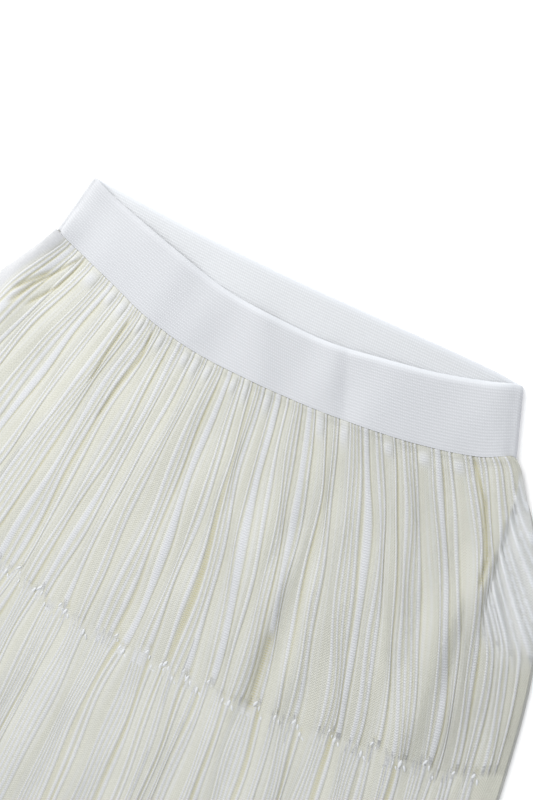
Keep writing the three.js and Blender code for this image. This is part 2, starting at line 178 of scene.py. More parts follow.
HOLLOWS = [  # from x, y, to x, y, half width, depth: narrow valleys between ribs, sunk and given the deep grooves' colour with its painted shade
    (87, -174, 94.5, -216, 1.9, 1.3),
    (153, -15, 169, -34, 1.1, 0.7),
    (169, -34, 184.5, -62, 1.4, 1.0),
    (184.5, -62, 187, -74, 1.5, 1.4),
    (-149.9, -15, -161.6, -30.4, 0.8, 0.8),
    (-161.6, -30.4, -169.8, -41.8, 1.1, 0.9),
    (-169.8, -41.8, -177, -55, 1.3, 0.9),
    (-144.5, -12, -148.4, -23, 0.7, 0.6),
    (-148.4, -23, -154.4, -36, 0.9, 0.7),
    (-154.4, -36, -165, -51, 1.0, 0.7),
    (-166, -32, -177.5, -46, 1.4, 0.9),
    (-95, -38, -98.7, -60, 0.8, 0.6),
    (-98.7, -60, -100.7, -77, 0.8, 0.6),
    (-75.8, -36.5, -75.9, -51.5, 0.8, 0.6),
    (-75.9, -51.5, -81.7, -76.6, 0.9, 0.7),
    (-81.7, -76.6, -84.8, -96.9, 0.9, 0.6),
]
HOLLOW_FADE = 5
LIP = [  # y, the lip's x, the skirt's right edge, the lip's height, its width to the left, its drop
    (4, 168, 172, 0, 17, 4.4),
    (-10, 178.5, 183, 3.6, 17, 4.4),
    (-25, 182.5, 191, 6.2, 17, 4.4),
    (-45, 184.5, 205, 8.0, 16, 4.4),
    (-65, 188, 216, 8.2, 14, 4.4),
    (-85, 191.5, 226, 7.2, 12, 4.8),
    (-98, 194.5, 232, 4.6, 10.5, 6),
    (-112, 197, 237, 2.4, 10, 9),
    (-130, 201, 243, 1.4, 10, 12),
    (-150, 203, 248, 0.9, 10, 14),
    (-190, 206, 255, 0.5, 10, 14),
    (-330, 212, 276, 0, 12, 14),
]
LIP_STEEP = 0.42  # share of the lip's height that falls within its drop
LIP_FALL = 0.8  # share of its height that is lost by the skirt's edge
LIP_EASE = 2.4
LIP_GATHER = 12  # cloth up to this far beyond the lip is drawn in under it
LIP_GATHER_SHARE = 0.6  # or up to this share of the way to the edge
LIP_DRAW = 5
LIP_DRAW_SHARE = 0.22
LIP_DRAWN_LOW = 1.2  # the lip draws cloth in where it stands this high
LIP_DRAWN_FULL = 7
SIDE_FAN = 0.75  # how quickly the ribs beyond the lip spread towards the edge
SIDE_RIBS = [  # depth below the chord where a rib beyond the lip leaves it, half width, fold's rise
    (11, 1.5, 0.5),
    (18.5, 2.0, 1.7),
    (24, 1.4, 0.5),
    (30, 2.2, 2.1),
    (39, 1.5, 0.6),
    (44, 1.4, 0.8),
    (49.5, 2.7, 2.5),
    (58, 1.5, 0.6),
    (66, 2.8, 2.5),
    (71, 1.5, 1.1),
    (76, 2.1, 1.2),
    (83, 2.7, 2.1),
    (90, 2.2, 1.5),
    (99, 2.7, 1.8),
]
SIDE_FOLD_WIDTH = 3.5
LEFT_SHADE_STRIP = (-207, -198)  # chart places over which the strip of painted shade at the left side ends
LEFT_SHADE_STRIP_DEPTHS = (90, 170)
SIDE_PALE = 0.4  # how far the knit beyond the lip has the ribs' colour, and with it the painted light there
SIDE_RISE = 1.1
SIDE_FADE = (-122, -88)  # the ribs beyond the lip fade in between these places
SIDE_TOP = (-11, -3)  # and out again between these
SIDE_FADE_SHARE = 0.22  # and in over this share of the way from the lip to the edge
LOWER_FOLDS = [  # aside at the start and at the hem, width, rise
    (-226, -272, 20, 3.0),
    (-186, -222, 16, 3.6),
    (-146, -182, 15, 3.0),
    (-104, -134, 17, 3.8),
    (-66, -86, 13, 3.0),
    (-30, -36, 15, 3.4),
    (6, 12, 14, 3.0),
    (44, 62, 15, 3.8),
    (82, 108, 14, 3.0),
    (122, 156, 16, 3.6),
    (166, 208, 17, 3.0),
    (214, 262, 20, 3.2),
]
LOWER_START = 190
LOWER_FULL = 275
UNDULATION = 0.35
# Rows of wavelength across, wavelength down, phase and size: DRIFTS says how far the lines of
# knit stray sideways
UNDULATIONS = [(70, 210, 0.3, 1.0), (-43, 120, 2.0, 0.8), (31, -170, 4.4, 0.5), (160, 58, 1.2, 0.6)]
DRIFTS = [(61, 330, 0.4, 1.5), (37, -210, 2.1, 0.9), (23, 150, 4.0, 0.6), (17, -80, 1.0, 0.35)]
DRIFT_SIDES = (25, 20)  # the drift fades over this much chart at the left and the right
DRIFT_DEPTH = 60  # and over this depth below the seam
DRIFT_CALM = 0.7  # share of the drift that is lost between two depths
DRIFT_CALMED = (210, 300)

# Fine form of the knit
VARIATIONS = {  # waves down the knit: length, phase from one rib to the next, middle, size
    "rib": (31, 1.9, 1, 0.2),
    "fine": (13.7, 2.7, 0, 0.14),
    "gap": (19, 2.2, 0.7, 0.3),
    "swell": (23, 1, 1, 0.5),
    "faint": (29, 2.6, 0.6, 0.4),
    "groove": (37, 1.3, 0.7, 0.3),
    "puff": (1, 3.1, 1, 0.35),
    "change": (1, 2.3, 0, 4.5),
    "loop turn": (1, 2.3, 0, 0.3),
    "loop size": (1, 1.7, 1, 0.25),
}
BULGE = 2.6  # how far the right side swells out just below the band
BULGE_DEPTH = 8
BULGE_CHART = (190, 225)
GROOVE_WIDTH = 1.5
GROOVE_DEPTH = 0.42
GROOVE_POWER = 0.7
GROOVE_FADE = (3, 16)  # the grooves deepen between these depths below the seam
NARROW_RECESS = 3.2
GAP_DEPTH = 0.2
GAP_START = 0.45  # how far a gap starts within the rib's right flank, as a share of its width
SHOULDER = 1.9  # how far a rib's left foot reaches into the recess
SHOULDER_SHARE = 0.3
SHOULDER_POWER = 4
SEAM_LIFT = 1.4  # the knit stands this much higher right at the seam
SEAM_LIFT_DEPTH = 5
SEAM_GAP_SHOWN = 0.06
SEAM_GAP = 0.3
PUFF_RECESS = 5.5  # a recess at least this wide puffs up just below the band
PUFF_RISE = 1.5
PUFF_MIDDLE = 8
PUFF_LENGTH = 8
PUFF_POWER = 0.5
# painted light: puffs take the ribs' paler colour where they rise
PUFF_PAINTED_LIGHT = 0.9
RECESS_SWELL = 0.05  # how high a recess swells, as a share of its width
RECESS_WIDEST = 9  # recesses wider than this swell no higher
RIB_POWER = 2.2
FLAT_HALF = 1.2  # a rib with a larger half width than this is flatter on top
FAINT_SPACE = 3.1  # the recesses have faint low ribs about this far apart
FAINT_RISE = 0.22
FAINT_PALE = 0.6
FAINT_SLANT = 5
NARROW_RISE = 0.75  # share of the full rise that the thinnest rib would have
RIB_ROUNDNESS = 0.8
HOLE_PLACE = (-0.3, -2.4)  # of the small hole where a lower rib starts: aside and down
HOLE_RADIUS = 0.7
HOLE_LONG = 1.6  # times as long as it is wide
HOLE_SHADE = 0.7
FAR_WAY = (0.45, 0.9)  # how much chart and depth count towards the painted shade at the lower right
FAR_SPAN = (60, 320)
# Along the rib, to its side, turn and share of the full size
LOOPS = [(-0.6, 0, -0.25, 1.0), (2.0, 1.9, 0.3, 0.75)]
LOOP_LIFT = 0.4
LOOP_LENGTH = 4.8
LOOP_RADIUS = 1.0
LOOP_RINGS = 7
LOOP_SIDES = 10
LOOP_FLAT = 0.7
LOOP_TAPER = 0.35
LOOP_DIP = 0.5
LOOP_BLUNT = 0.02  # how far along its round end a loop starts
LOOP_BLUNT_POWER = 0.6
LOOP_ASIDE = 0.5
LOOP_AHEAD = 6  # depth over which a loop's direction is taken
COURSE = 1.7  # height of one row of stitches in the skirt
WALE = 1.43  # width of one stitch
WIDE_WALE = 1.75  # width of one stitch on a rib, before they are evened out
BRIDGE = 0.4  # share of a rib's height that stays between it and the next rib of its group
BRIDGE_REACH = 0.3
BAND_COURSE = 1.85

# Rows of the panels' meshes: from, to and the step between rows
UPPER_ROWS = [(0, 24, 1.85), (24, 114, 2.2), (114, 201, 3.35)]
LOWER_ROWS = [(203, 300, 6), (300, SKIRT_LENGTH, 18.7)]
PLAIN_ROWS = [(0, 204, 12), (204, SKIRT_LENGTH, 20)]
BACK_ROWS = [(0, 204, 6), (204, SKIRT_LENGTH, 16)]
RIB_SHARES = (-1, -0.88, -0.5, 0, 0.5, 0.88, 1)
WIDE_SHARES = (-1, -0.93, -0.74, -0.3, 0.3, 0.74, 0.93, 1)
LOWER_SHARES = (-1, -0.7, 0, 0.7, 1)
BACK_SHARES = (-1, -0.8, 0.8, 1)
UPPER_RECESS_STEP = 0.95
LOWER_RECESS_STEP = 1.1
BACK_RECESS_STEP = 9
END_COLUMNS = 8
FINE_COLUMNS = 700  # lines of knit that are worked out before a mesh takes its own from them
LOWER_COLUMNS = 900  # and for laying out the lower ribs
LOWER_STEPS = 42
LOOP_STEPS = 40
PLAIN_FRONT_COLUMNS = 130
PLAIN_BACK_COLUMNS = 120
PLAIN_FRONT_CREST = 0.25  # how far the plain faces have the ribs' colour
PLAIN_BACK_CREST = 0.4
BACK_GROOVE = 0.6
BACK_GROOVE_SHARE = 0.6  # share of a rib's rise at which it reaches the underside

# Colours and stitches
CREST_COLOUR = (0.631, 0.643, 0.664, 1)
RECESS_COLOUR = (0.614, 0.614, 0.54, 1)
# grooves and gaps: partly the yarn's own darker tint, partly painted shade
DEEP_TINT_AND_SHADE_COLOUR = (0.50, 0.475, 0.31, 1)
GAP_TINT_AND_SHADE_COLOUR = (0.55, 0.537, 0.41, 1)
# painted shade: the greyer colour of the strip at the left side
LEFT_PAINTED_SHADE_COLOUR = (0.565, 0.573, 0.59, 1)
# painted light: the paler colour of the ribs beyond the lip
SIDE_PAINTED_LIGHT_COLOUR = (0.74, 0.757, 0.775, 1)
BAND_COLOUR = (0.598, 0.611, 0.637, 1)
# painted light: the inside of the band is coloured lighter
BAND_INSIDE_PAINTED_LIGHT_COLOUR = (0.655, 0.671, 0.692, 1)
# painted highlight along the rim of the band
BAND_RIM_HIGHLIGHT_COLOUR = (0.71, 0.735, 0.77, 1)
LOOP_COLOUR = (0.675, 0.69, 0.71, 1)
FAR_PAINTED_SHADE = 0.032  # painted shade: the knit is coloured a little darker towards the lower right
CLOTH_SURFACE = {
    "Roughness": 0.88,
    "Sheen Weight": 0.25,
    "Sheen Roughness": 0.5,
    "Specular IOR Level": 0.25,
}
SKIRT_CLOUD = (22, 2, 0.12)  # noise: scale, detail, size
SKIRT_FUZZ = (620, 2, 0.16)
SKIRT_ROUGH = (1400, 3, 0.22)
BAND_CLOUD = (18, 2, 0.08)
BAND_FUZZ = (1000, 3, 0.1)
BAND_ROUGH = (1500, 3, 0.5)
LOOP_FUZZ = (1200, 3, 0.14)
LOOP_ROUGH = (1500, 3, 1)
DOTS = (0.3, 0.6)  # gaps between ribs show as dots: size of the wave and its middle
DEEP_DOTS = 0.2  # how much more a deep groove shows
PURL_SWAY = 0.3
PLAIN_SLANT = 0.8  # how far the stitches of a rib slant from its middle to its flanks
PLAIN_SIDE = 0.6  # share of them that is lost beyond the lip
SEEN = (0.0022, 0.85)  # the stitches show more towards the right: slope and middle
LOWER_SEEN = 0.65  # and less on the fine ribs of the lower skirt
SKIRT_SHADE = (0.085, 0.954)  # how the stitches shade the yarn: size and middle
SKIRT_BUMP = 0.00024
BAND_COURSE_SHARE = 0.5
BAND_BEAD = (0.7, 0.3)
BAND_BEAD_SHARE = 0.8
BAND_TURNED_FADE = 0.8
BAND_SHADE = (0.11, 0.93)
BAND_BUMP = 0.0002
STITCH_BUMP = 0.5

# Surroundings, in metres
FLOOR_COLOUR = (0.98, 0.98, 0.98, 1)
FLOOR_SPECK = (3, 2, 0.01)
FLOOR_SURFACE = {  # the glow keeps contact shadows as faint as the photo has them
    "Roughness": 0.9,
    "Specular IOR Level": 0.1,
    "Emission Color": (1, 1, 1, 1),
    "Emission Strength": 0.09,
}
FLOOR_HALF = 3.0
FLOOR_LEVEL = -0.0003
WORLD_COLOUR = (0.96, 0.975, 1.0, 1)
WORLD_STRENGTH = 0.76
LIGHTS = [  # name, place, target, size, power, colour
    ("key", (-0.67, 0.38, 0.75), (-0.08, -0.08, 0), 1.2, 11.4, (1.0, 0.985, 0.96)),
    ("fill", (0.5, -0.2, 1.7), (0, -0.2, 0), 1.4, 2, (0.94, 0.97, 1.0)),
]


def curve(keys, values, at):
    """Smooth curve through values, one row of them for each key."""
    keys = np.array(keys, float)
    values = np.array(values, float)
    at = np.atleast_1d(np.array(at, float))
    place = np.arange(len(keys))
    lower = np.maximum(place - 1, 0)
    upper = np.minimum(place + 1, len(keys) - 1)
    tall = (-1,) + (1,) * (values.ndim - 1)
    slopes = (values[upper] - values[lower]) / (keys[upper] - keys[lower]).reshape(tall)
    i = np.clip(np.searchsorted(keys, at, side="left") - 1, 0, len(keys) - 2)
    span = (keys[i + 1] - keys[i]).reshape(tall)
    t = np.clip((at - keys[i]).reshape(tall) / span, 0, 1)
    rise = t * t * (3 - 2 * t)
    tangents = t * (1 - t) ** 2 * span * slopes[i] + t * t * (t - 1) * span * slopes[i + 1]
    return values[i] * (1 - rise) + values[i + 1] * rise + tangents


def smooth(low, high, at):
    t = np.clip((at - low) / (high - low), 0, 1)
    return t * t * (3 - 2 * t)


def bell(at, width):
    return np.exp(-((at / width) ** 2))


def waves(a, b, rows):
    """A soft uneven field over two coordinates: rows of wavelength in a, in b, phase and size."""
    return sum(size * np.sin(2 * np.pi * (a / la + b / lb) + phase) for la, lb, phase, size in rows)


def lip_at(y):
    table = np.array(LIP, float)[::-1]
    at = np.clip(y, table[0, 0], table[-1, 0])
    return [curve(table[:, 0], column, at.ravel()).reshape(at.shape) for column in table.T[1:]]


def lip_drawn(x, y):
    """Places moved towards the lip, where the cloth beyond it is gathered in under it."""
    lip, edge, rise = lip_at(y)[:3]
    past = x - lip
    room = np.maximum(edge - lip, 1)
    draw = np.minimum(LIP_DRAW, LIP_DRAW_SHARE * room) * smooth(LIP_DRAWN_LOW, LIP_DRAWN_FULL, rise)
    gather = np.minimum(LIP_GATHER, LIP_GATHER_SHARE * room)
    draw = draw * (1 - smooth(LIP_GATHER_SHARE, 1, past / room))
    return x - draw * smooth(0, 1, past / gather)


def lip_height(x, y):
    lip, edge, rise, width, drop = lip_at(y)
    past = x - lip
    left = bell(np.minimum(past, 0), width)
    steep = 1 - LIP_STEEP * smooth(0, drop, past)
    easy = 1 - LIP_FALL * np.clip(past / np.maximum(edge - lip, 1), 0, 1) ** LIP_EASE
    return rise * left * steep * easy


def beside(x, y, from_x, from_y, to_x, to_y):
    """How far places lie aside of a line, and how far past its ends."""
    run = np.array([to_x - from_x, to_y - from_y], float)
    length = np.hypot(*run)
    along = ((x - from_x) * run[0] + (y - from_y) * run[1]) / length
    aside = ((x - from_x) * run[1] - (y - from_y) * run[0]) / -length
    return aside, np.maximum(np.maximum(-along, along - length), 0)


def fold_height(x, y):
    """Height in millimetres that the large folds add to the front layers."""
    height = lip_height(x, y)
    for *line, left, right, rise in FOLDS:
        aside, past = beside(x, y, *line)
        one = rise * bell(aside, np.where(aside < 0, left, right)) * bell(past, FOLD_FADE)
        height = np.maximum(height, one)
    return height + UNDULATION * waves(x, y, UNDULATIONS)


def lower_fold_height(x, down):
    size = smooth(LOWER_START, LOWER_FULL, down)
    share = (down - LOWER_START) / (SKIRT_LENGTH - LOWER_START)
    height = np.zeros_like(x)
    for high, hem, width, rise in LOWER_FOLDS:
        height += rise * bell(x - high - (hem - high) * share, width)
    return size * height


def edge_line(along, layer, which):
    table = np.array(BAND_EDGES, float)
    return curve(table[:, 0], table[:, EDGE_COLUMN[layer][which]], along)


def knit_lines(chart, downs, layer):
    """Where each line of knit lies at each depth: two arrays, one row for each depth."""
    table = np.array(PLEAT_LINES, float)
    aside = curve(table[:, 0], table[:, 1:], chart).T
    x = curve(LINE_DEPTHS, aside, downs)
    along = aside[0] / (BAND_LOW_HALF - BAND_END_RADIUS)
    seams = {name: edge_line(along, name, 1) for name in EDGE_COLUMN}
    step = np.diff(downs)[:, None]
    drop = np.sqrt(np.maximum(step**2 - np.diff(x, axis=0) ** 2, 0))
    y = seams[layer] - SEAM_GAP_SHOWN - np.vstack([np.zeros(len(chart)), np.cumsum(drop, axis=0)])
    slide = (seams["back"] - seams[layer]) * smooth(SLIDE_START, SKIRT_LENGTH, downs)[:, None]
    return x, y + slide


def steps(rows):
    """Depths from the seam to the hem, with the step that each stretch asks for."""
    downs = [float(rows[0][0])]
    for low, high, step in rows:
        count = round((high - low) / step)
        downs += [low + (high - low) * (k + 1) / count for k in range(count)]
    return np.array(downs)


def rib_list(groups, at, gap):
    """Ribs and recesses across the knit, each as a dict with its place."""
    ribs, recesses = [], []
    for n, (recess, deep, *widths) in enumerate(groups):
        recesses.append({"low": at, "high": at + recess, "deep": deep})
        at += recess
        for k, width in enumerate(widths):
            at += gap if k else 0
            last = k == len(widths) - 1
            ribs.append({"low": at, "high": at + width, "group": n, "last": last})
            at += width
    return ribs, recesses


def upper_ribs():
    return rib_list(RIB_GROUPS, CHART_LEFT, RIB_GAP)


def lower_ribs():
    """The finer ribs, laid out in real widths and then placed on the chart."""
    ribs, recesses = rib_list(LOWER_GROUPS, LOWER_LEFT, LOWER_GAP)
    chart = np.linspace(CHART_LEFT, CHART_RIGHT, LOWER_COLUMNS)
    depths = np.linspace(0, LOWER_DEPTH, LOWER_STEPS)
    aside = front_surface(chart, depths)[0][-1]
    for one in ribs + recesses:
        for end in ("low", "high"):
            one[end] = float(np.interp(one[end], aside, chart))
    return ribs, recesses


def rib_columns(ribs, recesses, shares, wide_shares, recess_step):
    """Places across the chart where a mesh has its columns, closest on the ribs."""
    places = [CHART_LEFT, CHART_RIGHT]
    for rib in ribs:
        middle, half = (rib["low"] + rib["high"]) / 2, (rib["high"] - rib["low"]) / 2
        chosen = wide_shares if 2 * half >= WIDE_RIB else shares
        places += [middle + share * half for share in chosen]
    for recess in recesses:
        room = recess["high"] - recess["low"]
        count = max(1, round(room / recess_step))
        places += [recess["low"] + room * (k + 0.5) / count for k in range(count)]
    last = ribs[-1]["high"]
    places += list(np.linspace(last + 1, CHART_RIGHT - 1, END_COLUMNS))
    return np.unique(np.round(places, 3))


def varied(kind, down, n, phase=0):
    """A soft wave down the knit, which differs from one rib n to the next."""
    length, step, middle, size = VARIATIONS[kind]
    return middle + size * np.sin(down / length + step * n + phase)


def knit_relief(chart, downs, ribs, recesses, rise, gap_width):
    """Relief over the recess in millimetres, and masks: crest, deep groove, place on a rib, gap."""
    c = chart[None, :]
    d = downs[:, None]
    height = np.zeros((len(downs), len(chart)))
    crest = np.zeros_like(height)
    local = np.broadcast_to(c / WALE, height.shape)
    gap = np.zeros_like(height)
    for n, rib in enumerate(ribs):
        half = (rib["high"] - rib["low"]) / 2
        s = (c - rib["low"] - half) / half
        inside = np.abs(s) < 1
        power = RIB_POWER * max(1, half / FLAT_HALF)
        shape = np.where(inside, (1 - np.abs(np.clip(s, -1, 1)) ** power) ** RIB_ROUNDNESS, 0)
        tall = rise * (varied("rib", d, n) + varied("fine", d, n))
        tall = tall * min(1, NARROW_RISE + (1 - NARROW_RISE) * half / FLAT_HALF)
        left = (rib["low"] - c) / SHOULDER
        shoulder = np.where(left > 0, SHOULDER_SHARE * np.clip(1 - left, 0, 1) ** 2, 0)
        ridge = SHOULDER_SHARE * shape**SHOULDER_POWER + (1 - SHOULDER_SHARE) * shape
        one = tall * (ridge + shoulder)
        higher = one > height
        height = np.where(higher, one, height)
        crest = np.maximum(crest, shape)
        wales = max(1, round(2 * half / WIDE_WALE))
        local = np.where(inside & higher, (s + 1) / 2 * wales, local)
        past = (c - rib["high"]) / gap_width
        if not rib["last"]:
            bridge = (past > -BRIDGE_REACH) & (past < 1 + BRIDGE_REACH)
            height = np.where(bridge, np.maximum(height, BRIDGE * tall), height)
        dip = np.sin(np.pi * np.clip((past + GAP_START) / (1 + GAP_START), 0, 1))
        gap = np.maximum(gap, dip * varied("gap", d, n))
    gap = gap * (1 - crest)
    deep = np.zeros_like(height)
    for n, recess in enumerate(recesses):
        room = recess["high"] - recess["low"]
        s = np.clip((c - recess["low"]) / room, 0, 1)
        inside = (s > 0) & (s < 1)
        swell = np.where(inside, np.sin(np.pi * s) * min(room, RECESS_WIDEST) * RECESS_SWELL, 0)
        count = max(1, round(room / FAINT_SPACE))
        faint = np.where(inside, np.sin(np.pi * s * count) ** 2, 0)
        faint = faint * varied("faint", d, n, FAINT_SLANT * s)
        height = np.maximum(height, swell * varied("swell", d, n) + FAINT_RISE * faint)
        crest = np.maximum(crest, FAINT_PALE * faint)
        if recess["deep"]:
            width = room if room < NARROW_RECESS else GROOVE_WIDTH
            groove = np.sin(np.pi * np.clip((c - recess["low"]) / width, 0, 1)) ** GROOVE_POWER
            deep = np.maximum(deep, groove * varied("groove", d, n))
    return height, crest, deep, local, gap


def hollow_mask(x, y):
    """How much a place lies in one of the narrow valleys, and how deep."""
    mask = np.zeros_like(x)
    depth = np.zeros_like(x)
    for *line, half, deep in HOLLOWS:
        aside, past = beside(x, y, *line)
        one = bell(aside, half) * bell(past, HOLLOW_FADE)
        mask = np.maximum(mask, one)
        depth = np.maximum(depth, deep * one)
    return mask, depth


def change_share(chart, downs, lower):
    """0 on the upper ribs and 1 on the lower ones, with an uneven row of changes between."""
    ribs = lower[0]
    places = [r["high"] for r in ribs if r["last"]]
    starts = [change_start(r["group"]) for r in ribs if r["last"]]
    at = np.interp(chart, places, starts)[None, :]
    return smooth(-CHANGE_HALF, CHANGE_HALF, downs[:, None] - at)


def change_start(group):
    """Depth at which the lower ribs of a group start."""
    return CHANGE_DEPTH + varied("change", 0, group)


def side_relief(x, y):
    """The ribs that come out from under the lip: their share, height, crest and place on a rib."""
    lip, edge = lip_at(y)[:2]
    share = np.clip((x - lip) / np.maximum(edge - lip, 1), 0, 1)
    leave = -y * np.exp(-SIDE_FAN * share)
    height = np.zeros_like(x)
    crest = np.zeros_like(x)
    local = np.zeros_like(x)
    for place, half, rise in SIDE_RIBS:
        s = (leave - place) / half
        shape = (1 - np.abs(np.clip(s, -1, 1)) ** RIB_POWER) ** RIB_ROUNDNESS
        fold = rise * bell(leave - place, SIDE_FOLD_WIDTH)
        height = np.maximum(height, SIDE_RISE * shape + fold)
        crest = np.maximum(crest, shape)
        local = np.where(np.abs(s) < 1, (s + 1) / 2, local)
    inside = smooth(0, SIDE_FADE_SHARE, share) * smooth(*SIDE_FADE, y)
    return inside * (1 - smooth(*SIDE_TOP, y)), height, crest, local


def front_relief(chart, downs, x, y):
    """Relief of the whole front panel, and the masks that the material reads."""
    c = chart[None, :]
    d = downs[:, None]
    upper, lower = upper_ribs(), lower_ribs()
    rise_table = np.array(RIB_RISE_ROWS, float)
    across = np.interp(chart, *zip(*RIB_RISE_ACROSS))[None, :]
    rise = RIB_RISE * curve(rise_table[:, 0], rise_table[:, 1], downs)[:, None] * across
    high = knit_relief(chart, downs, *upper, rise, RIB_GAP)
    low = knit_relief(chart, downs, *lower, rise * LOWER_RISE, LOWER_GAP)
    low = (*low[:4], low[4] * LOWER_GAP_SHARE)
    share = change_share(chart, downs, lower)
    height, crest, deep, local, gap = [a * (1 - share) + b * share for a, b in zip(high, low)]
    deep = deep * smooth(*GROOVE_FADE, d)
    for n, recess in enumerate(upper[1]):
        room = recess["high"] - recess["low"]
        if room < PUFF_RECESS:
            continue
        puff = bell(d - PUFF_MIDDLE, PUFF_LENGTH * varied("puff", 0, n))
        s = np.clip((c - recess["low"]) / room, 0, 1)
        swell = np.sin(np.pi * s) ** PUFF_POWER * puff
        height = np.maximum(height, PUFF_RISE * swell)
        # painted light on the puffs
        crest = np.maximum(crest, PUFF_PAINTED_LIGHT * swell)
    side, side_height, side_crest, side_local = side_relief(x, y)
    height = height * (1 - side) + side_height * side
    # beyond the lip the knit takes the ribs' colour, which the material paints lighter
    crest = crest * (1 - side) + np.maximum(side_crest, SIDE_PALE) * side
    local = np.where(side > 0.5, side_local, local)
    deep, gap = deep * (1 - side), gap * (1 - side)
    # painted shade on the strip at the left side
    strip = (1 - smooth(*LEFT_SHADE_STRIP, c)) * (1 - smooth(*LEFT_SHADE_STRIP_DEPTHS, d))
    # painted shade, growing towards the lower right
    far = smooth(*FAR_SPAN, (c - CHART_LEFT) * FAR_WAY[0] + d * FAR_WAY[1])
    hollow, sunk = hollow_mask(x, y)
    deep = np.maximum(deep, hollow)
    for rib in lower[0]:
        if rib["last"]:
            aside = c - rib["high"] - HOLE_PLACE[0]
            below = d - change_start(rib["group"]) - HOLE_PLACE[1]
            hole = bell(np.hypot(aside, below / HOLE_LONG), HOLE_RADIUS)
            deep = np.maximum(deep, HOLE_SHADE * hole)
    height = height - GROOVE_DEPTH * deep - sunk - GAP_DEPTH * gap * (1 - deep)
    height = height + SEAM_LIFT * (1 - smooth(0, SEAM_LIFT_DEPTH, d))
    edge = np.minimum(chart - CHART_LEFT, CHART_RIGHT - chart)[None, :]
    # the last triple holds painted shade (left strip, lower right) and painted light (beyond the
    # lip)
    return height * smooth(0, EDGE_FADE, edge), crest, deep, local, gap, triples(strip, side, far)


def front_heights(chart, x, y, down):
    """Height of the front panel's inner face."""
    edge = np.minimum(chart - CHART_LEFT, CHART_RIGHT - chart)
    wide = SIDE_ROUND_SEAM + (1 - SIDE_ROUND_SEAM) * smooth(0, SIDE_ROUND_DEPTH, down)
    turn = np.clip(edge / (SIDE_ROUND * wide), 0, 1)
    full = FRONT_LIFT + fold_height(x, y) + lower_fold_height(x, down)
    low = BACK_WALL + SEAM_GAP
    return low + (full - low) * np.sqrt(1 - (1 - turn) ** 2)


def sideways_drift(chart, downs):
    """How far each line of knit strays along the chart, none at the two sides."""
    c = chart[None, :]
    d = downs[:, None]
    left, right = DRIFT_SIDES
    inside = smooth(0, left, c - CHART_LEFT) * smooth(0, right, CHART_RIGHT - c)
    field = waves(c, d, DRIFTS) * inside * smooth(0, DRIFT_DEPTH, d)
    return field * (1 - DRIFT_CALM * smooth(*DRIFT_CALMED, d))


def build_wall(name, outers, inner, is_loop, attributes):
    """A closed wall. outers are grids of points in millimetres, one below the other, and inner
    is one grid. Each grid is a dict with points and the keys of its columns and rows, which
    match between grids. attributes holds, for each name, one grid of triples for each grid."""
    grids = [*outers, inner]
    shapes = [grid["points"].shape[:2] for grid in grids]
    starts = np.cumsum([0] + [rows * columns for rows, columns in shapes])
    ids = [start + np.arange(r * c).reshape(r, c) for start, (r, c) in zip(starts, shapes)]
    points = np.vstack([grid["points"].reshape(-1, 3) for grid in grids]) * MM
    faces = []

    def sheet(one, turned):
        if is_loop:
            one = np.hstack([one, one[:, :1]])
        quads = np.stack([one[:-1, :-1], one[1:, :-1], one[1:, 1:], one[:-1, 1:]], axis=-1)
        quads = quads.reshape(-1, 4)
        faces.extend((quads[:, ::-1] if turned else quads).tolist())

    def strip(a, b, keys_a, keys_b, turned):
        i = j = 0
        while i + 1 < len(a) or j + 1 < len(b):
            step_a = keys_a[i + 1] if i + 1 < len(a) else np.inf
            step_b = keys_b[j + 1] if j + 1 < len(b) else np.inf
            if step_a <= step_b:
                face = (a[i], a[i + 1], b[j])
                i += 1
            else:
                face = (a[i], b[j + 1], b[j])
                j += 1
            faces.append(face[::-1] if turned else face)

    def row(k, which):
        line = ids[k][which].tolist()
        return [*line, line[0]] if is_loop else line

    for one in ids[:-1]:
        sheet(one, False)
    sheet(ids[-1], True)
    columns = [grid["columns"] for grid in grids]
    for k in range(len(outers) - 1):
        strip(row(k, -1), row(k + 1, 0), columns[k], columns[k + 1], True)
    strip(row(0, 0), row(-1, 0), columns[0], columns[-1], False)
    strip(row(-2, -1), row(-1, -1), columns[-2], columns[-1], True)
    if not is_loop:
        down_keys = np.concatenate([grid["rows"] for grid in outers])
        for side, turned in ((0, True), (-1, False)):
            line = np.concatenate([one[:, side] for one in ids[:-1]]).tolist()
            strip(line, ids[-1][:, side].tolist(), down_keys, inner["rows"], turned)
    mesh = bpy.data.meshes.new(name)
    mesh.from_pydata(points.tolist(), [], faces)
    for label, parts in attributes.items():
        values = np.vstack([np.array(part, float).reshape(-1, 3) for part in parts])
        layer = mesh.attributes.new(label, "FLOAT_VECTOR", "POINT")
        layer.data.foreach_set("vector", values.astype(np.float32).ravel())
    return as_piece(name, mesh)


def new_object(name, data):
    one = bpy.data.objects.new(name, data)
    bpy.context.scene.collection.objects.link(one)
    return one


def as_piece(name, mesh):
    mesh.polygons.foreach_set("use_smooth", [True] * len(mesh.polygons))
    mesh.update()
    return new_object(name, mesh)


def triples(a, b, c):
    shape = np.broadcast_shapes(np.shape(a), np.shape(b), np.shape(c))
    return np.stack([np.broadcast_to(v, shape) for v in (a, b, c)], axis=-1)


def resample(chart, fine, rows):
    return np.array([np.interp(at, fine, row) for at, row in zip(chart, rows)])


def front_surface(chart, downs):
    """Places and heights of the front panel's inner face, with the knit's drift."""
    fine = np.linspace(CHART_LEFT, CHART_RIGHT, FINE_COLUMNS)
    lines_x, lines_y = knit_lines(fine, downs, "front")
    moved = chart[None, :] + sideways_drift(chart, downs)
    x = resample(moved, fine, lines_x)
    y = resample(moved, fine, lines_y)
    share = downs[:, None] / BULGE_DEPTH
    x = lip_drawn(x + BULGE * smooth(*BULGE_CHART, moved) * share * np.exp(1 - share), y)
    return x, y, front_heights(moved, x, y, downs[:, None])


